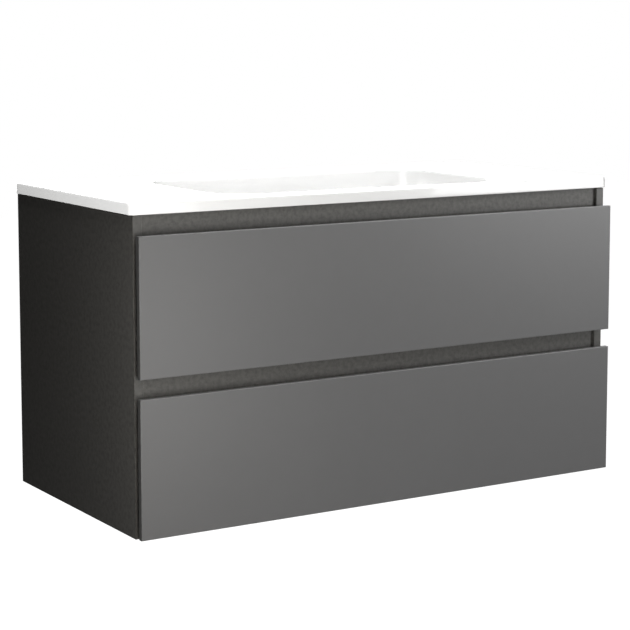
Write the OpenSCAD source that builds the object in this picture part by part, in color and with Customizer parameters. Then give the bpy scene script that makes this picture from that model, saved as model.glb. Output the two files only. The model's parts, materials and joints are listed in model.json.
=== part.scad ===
// Wall-hung bathroom vanity cabinet with two handleless drawers and a washbasin top.
// Millimetres. X runs along the front, Y from the drawer fronts to the wall, Z up.
// The origin is the centre of the underside of the whole part.

/* [Cabinet body] */
// Width over the two side panels
body_w = 900; // [760:10:1200]
// Depth of the side panels, from their front edges to the wall
body_d = 430; // [370:5:530]
// Height of the side panels
body_h = 489; // [400:1:600]
// Thickness of the side panels
side_t = 15; // [12:1:19]
// Thickness of the bottom panel and the rails
board_t = 15; // [14:1:19]
// Thickness of the bands glued to the front edges
band_t = 1; // [0.5:0.5:2]
// Height of the rear rail that the cabinet hangs by
hanging_rail_h = 100; // [90:5:130]
// Height of the rear rail on the bottom panel
lower_rail_h = 70; // [60:5:100]
// Space between the wall and the rear rails, for the wall plates
wall_space = 18; // [15:1:30]

/* [Drawer fronts] */
// Thickness of a drawer front
front_t = 18; // [16:1:22]
// Thickness that the bevels leave at the edges of a front
front_edge_t = 9; // [6:1:12]
// Width of the bevel behind the sides and the lower edge of a front
edge_bevel = 9; // [5:1:14]
// Height of the finger bevel behind the upper edge of a front
grip_bevel_h = 22; // [15:1:30]
// Space between a closed front and the cabinet body
front_gap = 2; // [1.5:0.5:4]
// Rounding of the visible edges of a front
front_edge_r = 1; // [0.5:0.5:2]
// Open height of the grip gap between the two fronts
grip_gap = 30; // [24:1:40]
// Open height of the grip gap between the upper front and the top of the body
top_gap = 29; // [24:1:40]
// How far the lower front stays above the underside of the body
bottom_reveal = 2; // [0:1:6]

/* [Grip rails] */
// Setback of the rails behind the front edges of the sides
rail_setback = 5; // [2:1:12]
// How far a rail runs on behind a drawer front
rail_overlap = 30; // [26:1:40]

/* [Drawer boxes] */
// Thickness of the boards of a drawer box
box_t = 12; // [10:1:16]
// Thickness of a drawer floor
floor_t = 8; // [6:1:10]
// Depth of the grooves that hold a drawer floor
floor_groove = 5; // [3:1:6]
// Height of a drawer floor above the lower edge of its box
floor_rise = 8; // [6:1:14]
// Clearance of a floor in its grooves
groove_clear = 0.1; // [0.05:0.05:0.3]
// How much longer a box is than its runners
box_overlength = 10; // [0:1:20]
// Clearance between the lower box and the bottom panel
lower_clear = 9; // [5:1:14]
// Clearance between the upper box and the middle grip rail
upper_clear = 5; // [4:1:12]
// Clearance between the upper box and the upper grip rail
upper_headroom = 29; // [10:1:40]
// Clearance between the lower box and the middle grip rail
lower_headroom = 12; // [8:1:30]
// Clearance between the low back of the upper box and the bowl above it
bowl_clear = 22; // [10:1:40]

/* [Siphon cut-out] */
// Width of the cut-out inside its surround
siphon_w = 210; // [160:5:260]
// Distance from the drain's axis to the closed end of the cut-out
siphon_reach = 62; // [50:1:90]
// Wall thickness of the surround
surround_t = 3; // [2:0.5:4]
// Corner radius inside the surround
surround_r = 30; // [15:1:50]

/* [Runners] */
// Height of the cabinet member of a runner
runner_h = 45; // [40:1:53]
// Thickness of a closed runner, side panel to drawer box
runner_t = 12.7; // [12.7:0.1:15.3]
// Thickness of the steel strip
runner_sheet = 1.2; // [1:0.1:1.4]
// Setback of the runners behind the front edges of the sides
runner_setback = 3; // [2:1:6]
// Step in which runner lengths are made
runner_step = 50; // [25:25:50]
// Clearance between the members, the balls and the cages
ball_clear = 0.3; // [0.3:0.05:0.4]

/* [Washbasin] */
// Thickness of the washbasin's slab
slab_t = 18; // [15:1:30]
// How far the slab stands over each side panel
slab_side_lip = 5; // [0:1:15]
// How far the slab stands over the front edges of the sides
slab_front_lip = 4; // [0:1:12]
// Corner radius of the slab
slab_corner_r = 10; // [4:1:30]
// Width of the basin at its rim
basin_w = 540; // [440:10:660]
// Depth of the bowl below the slab's top
basin_depth = 105; // [85:1:130]
// Wall thickness of the bowl
basin_wall = 9; // [7:1:12]
// Corner radius of the basin at its rim
basin_corner_r = 70; // [50:1:110]
// How far the bowl's walls lean in from rim to floor
basin_draft = 35; // [20:1:45]
// Distance between the bowl and the upper grip rail
bowl_rail_gap = 7; // [4:1:20]
// Distance from the slab's back edge to the basin's rim
back_ledge = 80; // [60:1:110]
// Distance from the drain's axis to the basin's back rim
drain_inset = 115; // [100:1:140]
// Thickness of the sealant bead between slab and cabinet
bead_t = 1; // [0.5:0.5:3]
// Width of the sealant bead
bead_w = 8; // [5:1:10]

/* [Waste] */
// Outer radius of the threaded tail
tail_r = 20.95; // [19:0.05:22]
// Inner radius of the tail
tail_bore_r = 18.2; // [16:0.1:18.5]
// Length of the threaded tail below its shank
tail_l = 50; // [40:1:70]
// Radius of the flange that sits in the bowl's floor
flange_r = 32.5; // [30:0.5:36]
// Thickness of the flange
flange_t = 3; // [2:0.5:4]
// Radius of the plug's stem
stem_r = 4; // [3:0.5:5]
// How far the plug rises when it is open
plug_lift = 8; // [6:1:12]
// Width across the flats of the backnut
backnut_af = 54; // [50:1:60]

/* [Wall hangers] */
// Distance between the two screws of a wall plate
plate_hole_pitch = 32; // [28:1:40]
// Radius of the screw holes in a wall plate
plate_hole_r = 3.5; // [2.5:0.5:4.5]
// Thickness of a wall plate
plate_t = 2.5; // [2:0.5:3]
// Depth of a hanger's housing, front to back
hanger_d = 60; // [50:1:70]

/* [Fasteners] */
// Radius of a cam lock
cam_r = 7.5; // [6:0.5:7.5]
// Depth of a cam lock
cam_h = 12; // [11.5:0.5:12.5]
// Distance from a board's end to the cam lock's axis
cam_backset = 24; // [24:1:34]
// Radius of a dowel
dowel_r = 4; // [3:0.5:4]
// Radius of a wood screw's shank
screw_r = 1.75; // [1.5:0.25:2]
// Clearance around fasteners in their holes
hole_clear = 0.1; // [0.05:0.05:0.3]

/* [Hidden] */

$fn = 48;
// How far a cut runs on past the surface it starts from
cut = 1;
left = -1;
right = 1;
lower = 0;
upper = 1;

// Depth: the fronts' faces and the wall lie at equal distances from the origin
y_face = -(front_t + front_gap + body_d) / 2;
y_front_back = y_face + front_t;
y_body = y_front_back + front_gap;
y_wall = y_body + body_d;
inner_w = body_w - 2 * side_t;
half_in = inner_w / 2;

// Heights of the fronts and rails
front_h = (body_h - bottom_reveal - grip_gap - top_gap) / 2;
front_z = [bottom_reveal, bottom_reveal + front_h + grip_gap];
upper_rail_z = front_z[upper] + front_h - rail_overlap;
middle_rail_z = front_z[lower] + front_h - rail_overlap;
middle_rail_top = front_z[upper] + rail_overlap;
rail_y = y_body + rail_setback;
rear_rail_y = y_wall - wall_space - board_t;

// Washbasin
slab_w = body_w + 2 * slab_side_lip;
slab_y = y_body - slab_front_lip;
slab_d = y_wall - slab_y;
slab_z = body_h + bead_t;
slab_top = slab_z + slab_t;
basin_y = rail_y + board_t + bowl_rail_gap + basin_wall;
basin_back_y = y_wall - back_ledge;
basin_d = basin_back_y - basin_y;
basin_mid_y = (basin_y + basin_back_y) / 2;
bead_inset = 3;
basin_floor_z = slab_top - basin_depth;
bowl_bend_h = 12;
bowl_under_z = basin_floor_z - basin_wall;
drain_y = basin_back_y - drain_inset;
shank_r = tail_r + 0.9;
drain_hole_r = shank_r + 0.6;
flange_clear = 0.5;

// Waste: the seal and the backnut sit below the bowl, the threaded tail starts below them
seal_t = 5;
nut_t = 9;
nut_clear = 5;
shank_end_z = bowl_under_z - seal_t - nut_t - nut_clear;
tail_end_z = shank_end_z - tail_l;
spider_z = basin_floor_z - 22;
spider_t = 4;
spider_arm_w = 3;
spider_hub_t = 3;
bore_cone_d = 1.5;
bore_cone_w = 8;
stem_l = 34;
stem_clear = 0.3;
cap_h = 6;
cap_dome = 3;
cap_inset = 1.5;

// Drawer boxes
runner_l = runner_step * floor((rear_rail_y - y_body - runner_setback) / runner_step);
runner_y = y_body + runner_setback;
box_w = inner_w - 2 * runner_t;
box_y = y_front_back;
box_end = box_y + runner_l + box_overlength;
box_z = [board_t + lower_clear, middle_rail_top + upper_clear];
box_top = [middle_rail_z - lower_headroom, upper_rail_z - upper_headroom];
back_top = [box_top[lower], bowl_under_z - bowl_clear];
floor_z = [for (z = box_z) z + floor_rise];
runner_z = [for (d = [lower, upper]) (box_z[d] + box_top[d]) / 2];
siphon_y = drain_y - siphon_reach;

// Runner section: u runs from the side panel to the drawer box, v up from the middle
mid_u = 3.2;
mid_v = runner_h / 2 - 6.5;
inner_u = mid_u + 3;
inner_v = mid_v - 5;
outer_ball_r = (runner_h / 2 - runner_sheet - mid_v) / 2 - ball_clear;
outer_ball_v = (runner_h / 2 - runner_sheet + mid_v) / 2;
inner_ball_r = (mid_v - runner_sheet - inner_v) / 2 - ball_clear;
inner_ball_v = (mid_v - runner_sheet + inner_v) / 2;
race_lip = 0.9;
side_play = 0.6;
race_inset = 2.2;
cage_t = 0.6;
cage_l = runner_l / 2 - 10;
cage_setback = 5;
cage_end_margin = 10;
ball_pitch = 22;
// Each cage as the u of its web, of its flanges' ends and of its balls' centres
outer_cage = [1.9, 9, 6];
inner_cage = [5, 10.2, 8];
screw_head_r = 3.4;
screw_head_t = 2;
screw_l = 10;
runner_screw_inset = 37;

// Carcass joints on one side panel, as [y, z, turn of the cam's open face about X]
rail_mid_y = rail_y + board_t / 2;
rear_mid_y = rear_rail_y + board_t / 2;
joint_step = 12;
bottom_joint_inset = 60;
bottom_dowel_inset = 92;
upper_rail_mid = (upper_rail_z + body_h) / 2;
middle_rail_mid = (middle_rail_z + middle_rail_top) / 2;
lower_rear_mid = board_t + lower_rail_h / 2;
cams = [
    [y_body + bottom_joint_inset, board_t / 2, 180],
    [y_wall - bottom_joint_inset, board_t / 2, 180],
    [rail_mid_y, upper_rail_mid + joint_step, -90],
    [rail_mid_y, middle_rail_mid + joint_step, -90],
    [rear_mid_y, body_h - hanging_rail_h + 20, 90],
    [rear_mid_y, lower_rear_mid + joint_step, 90]
];
dowels = [
    [y_body + bottom_dowel_inset, board_t / 2],
    [y_wall - bottom_dowel_inset, board_t / 2],
    [rail_mid_y, upper_rail_mid - joint_step],
    [rail_mid_y, middle_rail_mid - joint_step],
    [rear_mid_y, body_h - 13],
    [rear_mid_y, lower_rear_mid - joint_step]
];
dowel_in_panel = 10;
dowel_in_board = 20;
bolt_thread_r = 2.4;
bolt_thread_l = 10.5;
bolt_shaft_r = 3;
bolt_head_r = 3.2;
bolt_head_t = 3;
bolt_play = 1;
cam_slot_clear = 0.6;
cam_drive = [7, 1.4, 1.5];

// Wall hanger: a pressed housing on the side panel with a hook over the wall plate
hook_z = body_h - 41;
hook_h = 12;
hook_start = 34;
hook_tip_drop = 9;
hook_tip_t = 4;
hook_wall_gap = 2.5;
boss_y = [30, 10];
hook_window = 4;
hook_play = 2;
adjuster_r = 2.5;
adjuster_l = 18;
adjuster_head_r = 4.5;
adjuster_head_h = 3;
hook_w = 5;
hook_u = 4;
hanger_w = 14;
hanger_sheet = 2;
hanger_z = hook_z - 26;
hanger_h = 52;
hanger_y = rear_rail_y - hanger_d;
plate_w = 52;
plate_x = half_in - 28;
plate_joggle = 7.5;
plate_lip_h = 12;
plate_z = hook_z - 72;
plate_hole_z = plate_z + 10;
adjuster_z = [hook_z - 12, hook_z + 12];
hanger_screw_pos = [[12, 8], [48, 8], [30, 44]];
cover_t = 1.5;
drive_w = 1.2;
drive_d = 1.2;
cover_clear = 2.5;

// Front fixings and bumpers
front_screw_inset = 60;
front_screw_margin = 25;
front_screw_depth = 11;
bumper_r = 3.5;
bumper_t = front_gap - 0.3;
bumper_x = half_in + 1;

carcass_grey = [0.2, 0.2, 0.19];
front_grey = [0.44, 0.44, 0.45];
box_grey = [0.5, 0.5, 0.49];
steel = [0.72, 0.73, 0.75];

// ---- Helpers ----

// Draws its children for the right side, or mirrored for the left side
module on_side(side) {
    mirror([side == left ? 1 : 0, 0, 0]) children();
}

module on_both_sides() {
    for (side = [left, right]) on_side(side) children();
}

// A cylinder along X, its start at x = 0
module rod_x(r, l) {
    rotate([0, 90, 0]) cylinder(r = r, h = l);
}

module rounded_rect(w, d, r) {
    square([w - 2 * r, d], center = true);
    square([w, d - 2 * r], center = true);
    for (sx = [-1, 1], sy = [-1, 1])
        translate([sx * (w / 2 - r), sy * (d / 2 - r)]) circle(r);
}

// A box from one corner to the opposite one
module block(low, high) {
    translate(low) cube(high - low);
}

// Points of a quarter circle about [x, y], from angle a0 on by 90 degrees
function quarter(x, y, r, a0, steps = 6) =
    [for (i = [0:steps]) [x + r * cos(a0 + 90 * i / steps), y + r * sin(a0 + 90 * i / steps)]];

// ---- Carcass joints ----

module cam_place(c) {
    translate([half_in - cam_backset, c[0], c[1]]) rotate([c[2], 0, 0]) children();
}

module cam_body(grow) {
    translate([0, 0, board_t / 2 - cam_h - grow]) cylinder(r = cam_r + grow, h = cam_h + grow);
}

// What the joints take out of the boards that meet the side panels
module board_drillings() {
    on_both_sides() {
        for (c = cams) {
            cam_place(c) {
                cam_body(hole_clear);
                translate([0, 0, board_t / 2]) cylinder(r = cam_r + hole_clear, h = cut);
            }
            translate([half_in - cam_backset, c[0], c[1]])
                rod_x(bolt_shaft_r + bolt_play, cam_backset + cut);
        }
        for (p = dowels)
            translate([half_in - dowel_in_board - cut, p[0], p[1]])
                rod_x(dowel_r + hole_clear, dowel_in_board + 2 * cut);
    }
}

// What the joints take out of the right side panel
module panel_drillings() {
    for (c = cams)
        translate([half_in - cut, c[0], c[1]])
            rod_x(bolt_thread_r + hole_clear, bolt_thread_l + 2 * cut);
    for (p = dowels)
        translate([half_in - cut, p[0], p[1]])
            rod_x(dowel_r + hole_clear, dowel_in_panel + 2 * cut);
}

module cam_locks() {
    color("silver") on_both_sides() for (c = cams) cam_place(c)
        difference() {
            cam_body(0);
            translate([-bolt_head_t - cut, 0, 0])
                rod_x(bolt_head_r + cam_slot_clear, cam_r + bolt_head_t + 2 * cut);
            for (a = [0, 90]) rotate([0, 0, a])
                translate([0, 0, board_t / 2])
                    cube([cam_drive[0], cam_drive[1], 2 * cam_drive[2]], center = true);
        }
}

module cam_bolts() {
    color("silver") on_both_sides() for (c = cams) translate([half_in, c[0], c[1]]) {
        rod_x(bolt_thread_r, bolt_thread_l);
        translate([-cam_backset + cam_r, 0, 0]) rod_x(bolt_shaft_r, cam_backset - cam_r);
        translate([-cam_backset, 0, 0]) rod_x(bolt_head_r - 1, cam_r);
        translate([-cam_backset - bolt_head_t + 0.5, 0, 0]) rod_x(bolt_head_r, bolt_head_t);
    }
}

module carcass_dowels() {
    color("burlywood") on_both_sides() for (p = dowels)
        translate([half_in - dowel_in_board, p[0], p[1]])
            rod_x(dowel_r, dowel_in_board + dowel_in_panel);
}

// ---- Carcass boards ----

module side_panel(side) {
    color(carcass_grey) on_side(side) difference() {
        block([half_in, y_body + band_t, 0], [body_w / 2, y_wall, body_h]);
        panel_drillings();
        for (d = [lower, upper]) cabinet_screw_places(d)
            translate([0, 0, -cut]) cylinder(r = screw_r + hole_clear, h = screw_l + 2 * cut);
        hanger_screw_places()
            translate([0, 0, -cut]) cylinder(r = screw_r + hole_clear, h = screw_l + 2 * cut);
    }
}

module left_side_panel() side_panel(left);
module right_side_panel() side_panel(right);

module bottom_panel() {
    color(carcass_grey) difference() {
        block([-half_in, y_body + band_t, 0], [half_in, y_wall, board_t]);
        board_drillings();
    }
}

module carcass_edge_bands() {
    color(carcass_grey) {
        on_both_sides() block([half_in, y_body, 0], [body_w / 2, y_body + band_t, body_h]);
        block([-half_in, y_body, 0], [half_in, y_body + band_t, board_t]);
    }
}

module rail(y, z, top) {
    block([-half_in, y, z], [half_in, y + board_t, top]);
}

module upper_grip_rail() {
    color(carcass_grey) difference() {
        rail(rail_y, upper_rail_z, body_h);
        board_drillings();
    }
}

module middle_grip_rail() {
    color(carcass_grey) difference() {
        rail(rail_y, middle_rail_z, middle_rail_top);
        board_drillings();
    }
}

module hanging_rail() {
    color(carcass_grey) difference() {
        rail(rear_rail_y, body_h - hanging_rail_h, body_h);
        board_drillings();
        on_both_sides()
            block([half_in - hook_u - hook_w - hook_play, rear_rail_y - cut, hook_z - hook_window],
                  [half_in - hook_u + hook_play, rear_rail_y + board_t + cut,
                   hook_z + hook_h + hook_window]);
    }
}

module lower_rear_rail() {
    color(carcass_grey) difference() {
        rail(rear_rail_y, board_t, board_t + lower_rail_h);
        board_drillings();
    }
}

// ---- Wall hangers ----

module hanger_screw_places() {
    for (p = hanger_screw_pos)
        translate([half_in, hanger_y + p[0], hanger_z + p[1]]) rotate([0, 90, 0]) children();
}

module adjuster_places() {
    for (z = adjuster_z)
        translate([half_in - hanger_w / 2, hanger_y, z]) rotate([-90, 0, 0]) children();
}

module wall_hanger(side) {
    x0 = half_in - hanger_w;
    top = hanger_z + hanger_h;
    tip_y = y_wall - hook_wall_gap;
    color(steel) on_side(side) {
        difference() {
            union() {
                block([half_in - hanger_sheet, hanger_y, hanger_z], [half_in, rear_rail_y, top]);
                block([x0, hanger_y, hanger_z], [half_in, rear_rail_y, hanger_z + hanger_sheet]);
                block([x0, hanger_y, top - hanger_sheet], [half_in, rear_rail_y, top]);
                block([x0, hanger_y, hanger_z], [half_in, hanger_y + hanger_sheet, top]);
                // boss that carries the hook
                block([half_in - hook_u, rear_rail_y - boss_y[0], hook_z],
                      [half_in, rear_rail_y - boss_y[1], hook_z + hook_h]);
            }
            hanger_screw_places() translate([0, 0, -hanger_sheet - cut])
                cylinder(r = screw_head_r + hole_clear, h = hanger_sheet + 2 * cut);
            adjuster_places() translate([0, 0, -cut])
                cylinder(r = adjuster_r + hole_clear, h = hanger_sheet + 2 * cut);
        }
        translate([half_in - hook_u - hook_w, 0, 0]) rotate([90, 0, 90]) linear_extrude(hook_w)
            polygon([
                [rear_rail_y - hook_start, hook_z], [tip_y - hook_tip_t, hook_z],
                [tip_y - hook_tip_t, hook_z - hook_tip_drop], [tip_y, hook_z - hook_tip_drop],
                [tip_y, hook_z + hook_h], [rear_rail_y - hook_start, hook_z + hook_h]
            ]);
    }
}

module left_wall_hanger() wall_hanger(left);
module right_wall_hanger() wall_hanger(right);

module wall_plate(side) {
    bend = hook_z - plate_lip_h - plate_joggle;
    knee = plate_t * tan(22.5);
    color(steel) on_side(side) difference() {
        translate([plate_x - plate_w / 2, y_wall, 0]) rotate([90, 0, 90]) linear_extrude(plate_w)
            polygon([
                [0, plate_z], [0, bend], [-plate_joggle, bend + plate_joggle],
                [-plate_joggle, hook_z], [-plate_joggle - plate_t, hook_z],
                [-plate_joggle - plate_t, bend + plate_joggle - knee], [-plate_t, bend - knee],
                [-plate_t, plate_z]
            ]);
        for (i = [0, 1])
            translate([plate_x, y_wall + cut, plate_hole_z + i * plate_hole_pitch])
                rotate([90, 0, 0]) cylinder(r = plate_hole_r, h = plate_t + 2 * cut);
    }
}

module left_wall_plate() wall_plate(left);
module right_wall_plate() wall_plate(right);

module hanger_screws() {
    color("silver") on_both_sides() {
        hanger_screw_places() {
            cylinder(r = screw_r, h = screw_l);
            translate([0, 0, -hanger_sheet]) cylinder(r = screw_head_r, h = hanger_sheet);
        }
        adjuster_places() {
            cylinder(r = adjuster_r, h = adjuster_l);
            difference() {
                translate([0, 0, -adjuster_head_h]) cylinder(r = adjuster_head_r, h = adjuster_head_h);
                for (a = [0, 90]) rotate([0, 0, a])
                    translate([0, 0, -adjuster_head_h])
                        cube([1.4 * adjuster_head_r, drive_w, 2 * drive_d], center = true);
            }
        }
    }
}

module hanger_covers() {
    x0 = half_in - hanger_w - cover_clear - cover_t;
    y0 = hanger_y - adjuster_head_h - cover_clear - cover_t;
    z0 = hanger_z - cover_clear - cover_t;
    z1 = hanger_z + hanger_h + cover_clear + cover_t;
    color("gray") on_both_sides() difference() {
        block([x0, y0, z0], [half_in, rear_rail_y, z1]);
        block([x0 + cover_t, y0 + cover_t, z0 + cover_t],
              [half_in + cut, rear_rail_y + cut, z1 - cover_t]);
    }
}

// ---- Washbasin and waste ----

// A thin layer of the bowl at height z, grown or shrunk all round
module bowl_layer(z, grow) {
    translate([0, basin_mid_y, z]) linear_extrude(0.1)
        rounded_rect(basin_w + 2 * grow, basin_d + 2 * grow, basin_corner_r + grow, $fn = 32);
}

// The bowl between its rim and its floor; its walls turn into the floor below the bend
module bowl_form(grow, top_z, floor_z) {
    hull() {
        bowl_layer(top_z - 0.1, grow);
        bowl_layer(floor_z + bowl_bend_h, grow - basin_draft / 2);
        bowl_layer(floor_z, grow - basin_draft);
    }
}

module washbasin_top() {
    color("white") difference() {
        union() {
            translate([0, slab_y + slab_d / 2, slab_z]) linear_extrude(slab_t)
                rounded_rect(slab_w, slab_d, slab_corner_r);
            bowl_form(basin_wall, slab_z + 2, bowl_under_z);
        }
        bowl_form(0, slab_top + cut, basin_floor_z);
        translate([0, drain_y, bowl_under_z - cut])
            cylinder(r = drain_hole_r, h = basin_wall + 2 * cut);
        translate([0, drain_y, basin_floor_z - flange_t])
            cylinder(r = flange_r + flange_clear, h = flange_t + cut);
    }
}

module sealant_bead() {
    outer = [body_w / 2 - bead_inset, rail_y + bead_inset, rear_rail_y + board_t - bead_inset];
    color("whitesmoke") difference() {
        block([-outer[0], outer[1], body_h], [outer[0], outer[2], body_h + bead_t]);
        block([-outer[0] + bead_w, outer[1] + bead_w, body_h - cut],
              [outer[0] - bead_w, outer[2] - bead_w, body_h + bead_t + cut]);
    }
}

module at_drain(z) {
    translate([0, drain_y, z]) children();
}

module waste_body() {
    color("silver") {
        difference() {
            union() {
                at_drain(basin_floor_z - flange_t) cylinder(r = flange_r, h = flange_t);
                at_drain(shank_end_z) cylinder(r = shank_r, h = basin_floor_z - shank_end_z);
                at_drain(tail_end_z) cylinder(r = tail_r, h = basin_floor_z - tail_end_z);
            }
            at_drain(tail_end_z - cut)
                cylinder(r = tail_bore_r, h = basin_floor_z - tail_end_z + 2 * cut);
            at_drain(basin_floor_z - bore_cone_d)
                cylinder(r1 = tail_bore_r, r2 = tail_bore_r + bore_cone_w, h = bore_cone_d + 0.1);
        }
        at_drain(spider_z) difference() {
            union() {
                cylinder(r = stem_r + spider_hub_t, h = spider_t);
                for (a = [90, 210, 330]) rotate([0, 0, a])
                    translate([0, -spider_arm_w / 2, 0])
                        cube([tail_bore_r + 1, spider_arm_w, spider_t]);
            }
            translate([0, 0, -cut]) cylinder(r = stem_r + stem_clear, h = spider_t + 2 * cut);
        }
    }
}

module waste_seal() {
    color("black") at_drain(bowl_under_z - seal_t) difference() {
        cylinder(r = flange_r + 2, h = seal_t);
        translate([0, 0, -cut]) cylinder(r = shank_r + hole_clear, h = seal_t + 2 * cut);
    }
}

module waste_backnut() {
    color("silver") at_drain(bowl_under_z - seal_t - nut_t) difference() {
        cylinder(r = backnut_af / sqrt(3), h = nut_t, $fn = 6);
        translate([0, 0, -cut]) cylinder(r = shank_r + hole_clear, h = nut_t + 2 * cut);
    }
}

module waste_plug() {
    cap_r = flange_r - cap_inset;
    dome_r = (cap_r * cap_r + cap_dome * cap_dome) / (2 * cap_dome);
    color("silver") at_drain(basin_floor_z + ball_clear) {
        rotate_extrude() intersection() {
            union() {
                square([cap_r, cap_h - cap_dome]);
                translate([0, cap_h - dome_r]) circle(dome_r, $fn = 180);
            }
            square([cap_r, cap_h]);
        }
        translate([0, 0, -stem_l]) cylinder(r = stem_r, h = stem_l + cut);
    }
}

// ---- Runners ----

// Draws a section in the u, v plane as a bar of length l from y on, on the right side
module runner_bar(d, y, l) {
    translate([half_in, y + l, runner_z[d]]) rotate([90, 0, 0]) mirror([1, 0, 0])
        linear_extrude(l) children();
}

module both_edges() {
    children();
    mirror([0, 1]) children();
}

module cabinet_member(side, d) {
    s = runner_sheet;
    w = runner_t - race_inset;
    color(steel) on_side(side) difference() {
        runner_bar(d, runner_y, runner_l) {
            translate([0, -runner_h / 2]) square([s, runner_h]);
            both_edges() {
                translate([0, runner_h / 2 - s]) square([w, s]);
                translate([w - s, runner_h / 2 - s - race_lip]) square([s, s + race_lip]);
            }
        }
        cabinet_screw_places(d) translate([0, 0, -runner_sheet - cut])
            cylinder(r = screw_head_r + hole_clear, h = runner_sheet + 2 * cut);
    }
}

module middle_member(side, d) {
    s = runner_sheet;
    w = runner_t - runner_sheet - side_play - mid_u;
    color(steel) on_side(side) runner_bar(d, runner_y, runner_l) {
        translate([mid_u, -mid_v]) square([s, 2 * mid_v]);
        both_edges() {
            translate([mid_u, mid_v - s]) square([w, s]);
            translate([mid_u + w - s, mid_v - s - race_lip]) square([s, s + race_lip]);
        }
    }
}

module drawer_member(side, d) {
    s = runner_sheet;
    color(steel) on_side(side) difference() {
        runner_bar(d, runner_y, runner_l) {
            translate([runner_t - s, -inner_v]) square([s, 2 * inner_v]);
            both_edges() {
                translate([inner_u, inner_v - s]) square([runner_t - inner_u, s]);
                translate([inner_u, inner_v - s - race_lip]) square([s, s + race_lip]);
            }
        }
        drawer_screw_places(d) translate([0, 0, -cut])
            cylinder(r = screw_head_r + hole_clear, h = runner_sheet + 2 * cut);
    }
}

// Two cages, one on each side, with their rows of balls above and below
module ball_cages(d, cage, ball_v, ball_r) {
    web_u = cage[0];
    flange_u = cage[1];
    ball_u = cage[2];
    y = runner_y + runner_l / 4 + cage_setback;
    balls = floor((cage_l - cage_end_margin) / ball_pitch);
    first = (cage_l - balls * ball_pitch) / 2;
    color("gainsboro") on_both_sides() {
        runner_bar(d, y, cage_l) {
            translate([web_u, -ball_v]) square([cage_t, 2 * ball_v]);
            both_edges() translate([web_u, ball_v - cage_t / 2]) square([flange_u - web_u, cage_t]);
        }
        for (i = [0:balls], v = [-ball_v, ball_v])
            translate([half_in - ball_u, y + first + i * ball_pitch, runner_z[d] + v])
                sphere(ball_r, $fn = 24);
    }
}

module outer_ball_cages(d) ball_cages(d, outer_cage, outer_ball_v, outer_ball_r);
module inner_ball_cages(d) ball_cages(d, inner_cage, inner_ball_v, inner_ball_r);

function runner_screw_y() =
    [for (l = [runner_screw_inset, runner_l / 2, runner_l - runner_screw_inset]) runner_y + l];

module cabinet_screw_places(d) {
    for (y = runner_screw_y())
        translate([half_in, y, runner_z[d]]) rotate([0, 90, 0]) children();
}

// Local Z runs from the drawer member's inner face into the drawer box
module drawer_screw_places(d) {
    for (y = runner_screw_y())
        translate([half_in - runner_t + runner_sheet, y, runner_z[d]]) rotate([0, -90, 0]) children();
}

module upper_left_cabinet_runner() cabinet_member(left, upper);
module upper_right_cabinet_runner() cabinet_member(right, upper);
module lower_left_cabinet_runner() cabinet_member(left, lower);
module lower_right_cabinet_runner() cabinet_member(right, lower);
module upper_left_middle_runner() middle_member(left, upper);
module upper_right_middle_runner() middle_member(right, upper);
module lower_left_middle_runner() middle_member(left, lower);
module lower_right_middle_runner() middle_member(right, lower);
module upper_left_drawer_runner() drawer_member(left, upper);
module upper_right_drawer_runner() drawer_member(right, upper);
module lower_left_drawer_runner() drawer_member(left, lower);
module lower_right_drawer_runner() drawer_member(right, lower);
module upper_outer_ball_cages() outer_ball_cages(upper);
module upper_inner_ball_cages() inner_ball_cages(upper);
module lower_outer_ball_cages() outer_ball_cages(lower);
module lower_inner_ball_cages() inner_ball_cages(lower);

module cabinet_runner_screws() {
    color("silver") on_both_sides() for (d = [lower, upper]) cabinet_screw_places(d) {
        cylinder(r = screw_r, h = screw_l);
        translate([0, 0, -runner_sheet]) cylinder(r = screw_head_r, h = runner_sheet);
    }
}

module drawer_runner_screws(d) {
    color("silver") on_both_sides() drawer_screw_places(d) {
        cylinder(r = screw_head_r, h = runner_sheet);
        cylinder(r = screw_r, h = runner_sheet + box_t - screw_head_t);
    }
}

module upper_runner_screws() drawer_runner_screws(upper);
module lower_runner_screws() drawer_runner_screws(lower);

// ---- Drawers ----

// A front with rounded visible edges and a bevel behind every edge
module drawer_front(d) {
    r = front_edge_r;
    w = body_w / 2;
    color(front_grey) difference() {
        intersection() {
            translate([-w, y_face, front_z[d]]) rotate([90, 0, 90]) linear_extrude(2 * w)
                polygon(concat(
                    quarter(r, r, r, 180), [[front_edge_t, 0], [front_t, edge_bevel]],
                    [[front_t, front_h - grip_bevel_h], [front_edge_t, front_h]],
                    quarter(r, front_h - r, r, 90)));
            translate([0, y_face, front_z[d]]) linear_extrude(front_h)
                polygon(concat(
                    quarter(-w + r, r, r, 180), quarter(w - r, r, r, 270),
                    [[w, front_edge_t], [w - edge_bevel, front_t]],
                    [[-w + edge_bevel, front_t], [-w, front_edge_t]]));
        }
        front_screw_places(d) translate([0, 0, box_t - cut])
            cylinder(r = screw_r + hole_clear, h = front_screw_depth + 2 * cut);
    }
}

// Local Z runs from the inside of the box through its front board into the drawer front
module front_screw_places(d) {
    for (sx = [-1, 1], z = [box_z[d] + front_screw_margin, box_top[d] - front_screw_margin])
        translate([sx * (box_w / 2 - front_screw_inset), box_y + box_t, z])
            rotate([90, 0, 0]) children();
}

module front_screws(d) {
    color("silver") front_screw_places(d) {
        cylinder(r = screw_r, h = box_t + front_screw_depth);
        cylinder(r = screw_head_r, h = screw_head_t);
    }
}

module front_bumpers(d) {
    low = front_z[d] + 3 * edge_bevel;
    high = front_z[d] + front_h - 2 * grip_bevel_h;
    for (sx = [-1, 1], z = [low, high])
        color("lightgray") translate([sx * bumper_x, y_front_back, z]) rotate([-90, 0, 0])
            cylinder(r = bumper_r, h = bumper_t);
}

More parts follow.
